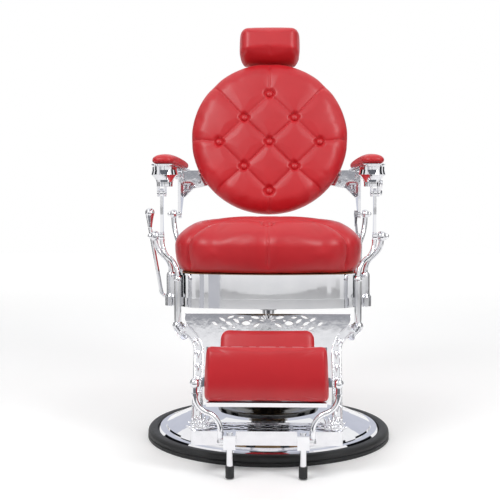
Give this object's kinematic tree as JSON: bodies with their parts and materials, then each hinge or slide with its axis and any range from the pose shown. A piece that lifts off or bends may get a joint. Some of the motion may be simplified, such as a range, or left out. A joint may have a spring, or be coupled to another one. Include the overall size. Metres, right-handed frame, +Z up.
{
  "type": "hydraulic barber chair",
  "caption": "Barber chair with round tufted back, sliding headrest, levelling armrests, linked legrest and hydraulic pedestal base that lifts and swivels.",
  "frame": {"origin": "on the floor at the centre of the round base, below the lifting ram", "axes": "+Z up along the ram, -Y the way the sitter faces, +X towards the sitter's left"},
  "size_m": [0.7129, 0.8941, 1.2564],
  "materials": {
    "chrome_steel": "polished plate on steel",
    "cast_chrome": "polished plate on castings",
    "machined_steel": "turned and plated",
    "cast_iron": "painted casting",
    "black_enamel": "gloss enamel",
    "rubber": "moulded, ribbed",
    "plywood": "sealed ply",
    "red_vinyl": "satin coated cloth over foam"
  },
  "bodies": {
    "base": {"base_plate": "chrome_steel", "base_trim": "rubber", "base_weight": "cast_iron", "pump_cylinder": "machined_steel", "pressure_tube": "machined_steel", "pump_cover": "black_enamel", "pump_gland": "chrome_steel", "rod_seal": "rubber", "pump_bolts": "machined_steel"},
    "lift": {"ram": "chrome_steel", "ram_piston": "machined_steel", "piston_ring": "rubber"},
    "seat": {"swivel_bearing": "machined_steel", "swivel_hub": "cast_iron", "seat_spider": "cast_iron", "seat_bolts": "machined_steel", "seat_band": "chrome_steel", "seat_board": "plywood", "seat_cushion": "red_vinyl", "side_frame_left": "cast_chrome", "side_frame_right": "cast_chrome", "frame_bolts": "machined_steel", "pivot_pins": "chrome_steel"},
    "pump_handle": {"pump_lever": "chrome_steel", "pump_knob": "chrome_steel"},
    "plunger": {"pump_plunger": "machined_steel"},
    "back": {"back_bracket_left": "cast_chrome", "back_bracket_right": "cast_chrome", "bracket_bolts": "machined_steel", "recline_quadrant": "machined_steel", "back_board": "plywood", "back_shell": "red_vinyl", "back_cushion": "red_vinyl", "back_buttons": "red_vinyl", "headrest_sockets": "machined_steel"},
    "headrest": {"headrest_frame": "chrome_steel", "headrest_cushion": "red_vinyl"},
    "legrest": {"side_lever_left": "chrome_steel", "side_lever_right": "chrome_steel", "leg_frame_left": "cast_chrome", "leg_frame_right": "cast_chrome", "calf_panel": "cast_chrome", "calf_pad": "red_vinyl", "foot_step": "cast_chrome", "step_grille": "cast_chrome", "foot_legs": "chrome_steel", "foot_tips": "rubber", "footrest_pins": "machined_steel"},
    "footrest": {"footrest_arm_left": "chrome_steel", "footrest_arm_right": "chrome_steel"},
    "foot_pad": {"footrest_tray": "chrome_steel", "footrest_pad": "red_vinyl"},
    "armrest_l": {"armrest_frame_left": "cast_chrome", "armrest_pad_left": "red_vinyl", "armrest_pins_left": "chrome_steel"},
    "armrest_r": {"armrest_frame_right": "cast_chrome", "armrest_pad_right": "red_vinyl", "armrest_pins_right": "chrome_steel"},
    "trigger": {"recline_trigger": "chrome_steel"},
    "pawl": {"recline_pawl": "machined_steel"}
  },
  "joints": [
    {"name": "lift_slide", "type": "slide", "parent": "base", "child": "lift", "axis": [0, 0, 1], "range_m": [0, 0.17]},
    {"name": "swivel", "type": "hinge", "parent": "lift", "child": "seat", "pos_m": [0, 0, 0.4], "axis": [0, 0, 1], "continuous": true},
    {"name": "recline", "type": "hinge", "parent": "seat", "child": "back", "pos_m": [0, 0.2, 0.648], "axis": [-1, 0, 0], "range_deg": [0, 42]},
    {"name": "legrest_swing", "type": "hinge", "parent": "seat", "child": "legrest", "pos_m": [0, -0.16, 0.592], "axis": [-1, 0, 0], "range_deg": [0, 42]},
    {"name": "armrest_left_level", "type": "hinge", "parent": "back", "child": "armrest_l", "pos_m": [-0.283, 0.2, 0.768], "axis": [-1, 0, 0], "range_deg": [-42, 0]},
    {"name": "armrest_right_level", "type": "hinge", "parent": "back", "child": "armrest_r", "pos_m": [0.283, 0.2, 0.768], "axis": [-1, 0, 0], "range_deg": [-42, 0]},
    {"name": "headrest_slide", "type": "slide", "parent": "back", "child": "headrest", "axis": [0, 0.2419, 0.9703], "range_m": [0, 0.09]},
    {"name": "pump_lever_swing", "type": "hinge", "parent": "seat", "child": "pump_handle", "pos_m": [-0.31, -0.042, 0.413], "axis": [-1, 0, 0], "range_deg": [0, 22]},
    {"name": "plunger_stroke", "type": "slide", "parent": "seat", "child": "plunger", "axis": [0, 0, -1], "range_m": [0, 0.01571]},
    {"name": "footrest_swing", "type": "hinge", "parent": "legrest", "child": "footrest", "pos_m": [0, -0.446, 0.092], "axis": [1, 0, 0], "range_deg": [0, 75]},
    {"name": "foot_pad_tilt", "type": "hinge", "parent": "footrest", "child": "foot_pad", "pos_m": [0, -0.446, 0.238], "axis": [1, 0, 0], "range_deg": [-15, 25]},
    {"name": "trigger_pull", "type": "hinge", "parent": "armrest_r", "child": "trigger", "pos_m": [0.312, -0.16, 0.739], "axis": [-1, 0, 0], "range_deg": [0, 15], "stiffness_Nm_per_rad": 0.6},
    {"name": "pawl_lift", "type": "hinge", "parent": "seat", "child": "pawl", "pos_m": [0.271, 0.132, 0.585], "axis": [1, 0, 0], "range_deg": [0, 12]}
  ],
  "couplings": [
    {"joint": "legrest_swing", "follows": "recline", "ratio": 1},
    {"joint": "armrest_left_level", "follows": "recline", "ratio": -1},
    {"joint": "armrest_right_level", "follows": "recline", "ratio": -1},
    {"joint": "plunger_stroke", "follows": "pump_lever_swing", "m_per_rad": 0.0409},
    {"joint": "pawl_lift", "follows": "trigger_pull", "ratio": 0.8}
  ]
}
